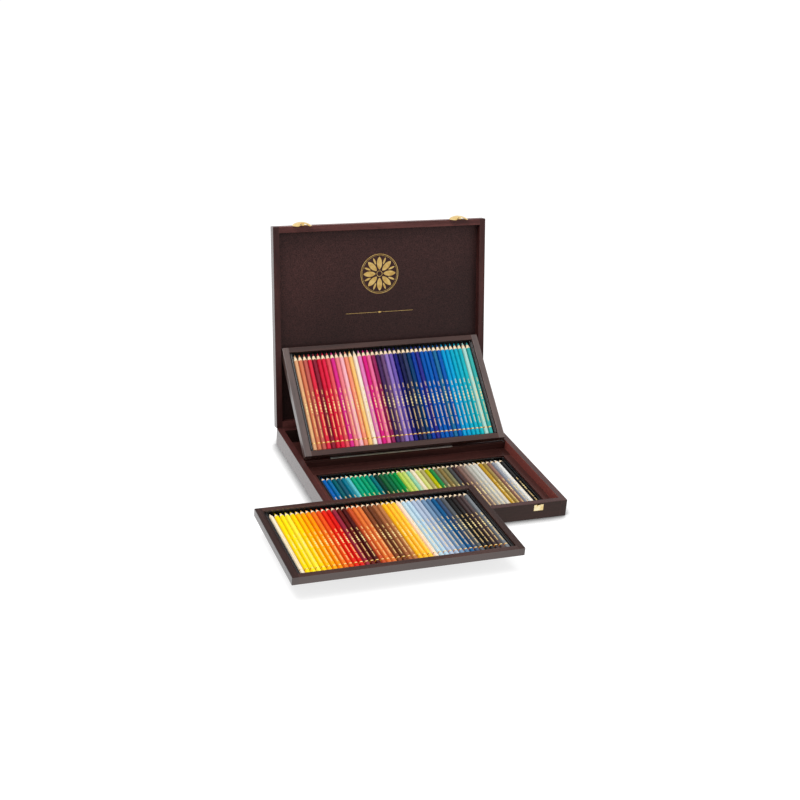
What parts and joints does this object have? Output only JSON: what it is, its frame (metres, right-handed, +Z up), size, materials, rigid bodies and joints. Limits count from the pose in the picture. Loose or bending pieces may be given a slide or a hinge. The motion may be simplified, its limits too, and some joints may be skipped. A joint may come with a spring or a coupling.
{
  "type": "wooden pencil case",
  "caption": "Flat wooden pencil case with a hinged lid, brass catches and lift-out trays of hexagonal colour pencils, open, one tray leaning on the lid and one laid on the front rim.",
  "frame": {"origin": "centre of the case's underside", "axes": "+X to the right, +Y to the rear where the lid is hinged, +Z up"},
  "size_m": [0.4952, 0.5671, 0.3672],
  "materials": {
    "wood": "dark mahogany stain, satin lacquer",
    "board": "dark stained board, satin",
    "liner": "formed black plastic",
    "pencils": "coloured gloss lacquer on wood",
    "brass": "polished",
    "strip": "satin"
  },
  "bodies": {
    "base": {"base_back_rail": "wood", "base_bottom_panel": "board", "base_front_rail": "wood", "base_hinge_screws": "brass", "base_left_board": "wood", "base_right_board": "wood", "bottom_liner": "liner", "bottom_pencils": "pencils", "deck_back_board": "board", "deck_left_strip": "board", "deck_right_strip": "board", "hinge_left_base_leaf": "brass", "hinge_left_pin": "brass", "hinge_right_base_leaf": "brass", "hinge_right_pin": "brass", "keeper_left": "brass", "keeper_nails": "brass", "keeper_right": "brass", "platform_back_riser": "board", "platform_front_riser": "board", "platform_top": "board", "tray_stop_strip": "strip"},
    "lid": {"catch_left_pin": "brass", "catch_left_plate": "brass", "catch_plate_nails": "brass", "catch_right_pin": "brass", "catch_right_plate": "brass", "hinge_left_lid_leaf": "brass", "hinge_right_lid_leaf": "brass", "lid_back_rail": "wood", "lid_front_rail": "wood", "lid_hinge_screws": "brass", "lid_left_board": "wood", "lid_panel": "board", "lid_right_board": "wood"},
    "top_tray": {"top_tray_back_rail": "wood", "top_tray_bottom": "board", "top_tray_front_rail": "wood", "top_tray_left_rail": "wood", "top_tray_liner": "liner", "top_tray_pencils": "pencils", "top_tray_right_rail": "wood"},
    "front_tray": {"front_tray_back_rail": "wood", "front_tray_bottom": "board", "front_tray_front_rail": "wood", "front_tray_left_rail": "wood", "front_tray_liner": "liner", "front_tray_pencils": "pencils", "front_tray_right_rail": "wood"},
    "catch_left": {"catch_left_tongue": "brass"},
    "catch_right": {"catch_right_tongue": "brass"}
  },
  "joints": [
    {"name": "lid_hinge", "type": "hinge", "parent": "base", "child": "lid", "pos_m": [0, 0.17, 0.0281], "axis": [1, 0, 0], "range_deg": [0, 102]},
    {"name": "top_tray_fold", "type": "hinge", "parent": "lid", "child": "top_tray", "pos_m": [0, 0.19595, 0.15788], "axis": [1, 0, 0], "range_deg": [-141.02, 0]},
    {"name": "front_tray_fold", "type": "hinge", "parent": "base", "child": "front_tray", "pos_m": [0, -0.21246, -0.22803], "axis": [1, 0, 0], "range_deg": [0, 12.8]},
    {"name": "catch_left_swing", "type": "hinge", "parent": "lid", "child": "catch_left", "pos_m": [-0.14, 0.24996, 0.36146], "axis": [-1, 0, 0], "range_deg": [0, 60]},
    {"name": "catch_right_swing", "type": "hinge", "parent": "lid", "child": "catch_right", "pos_m": [0.14, 0.24996, 0.36146], "axis": [-1, 0, 0], "range_deg": [0, 60]}
  ],
  "couplings": [
    {"joint": "top_tray_fold", "follows": "lid_hinge", "ratio": -1.3825},
    {"joint": "front_tray_fold", "follows": "lid_hinge", "ratio": 0.1255}
  ]
}
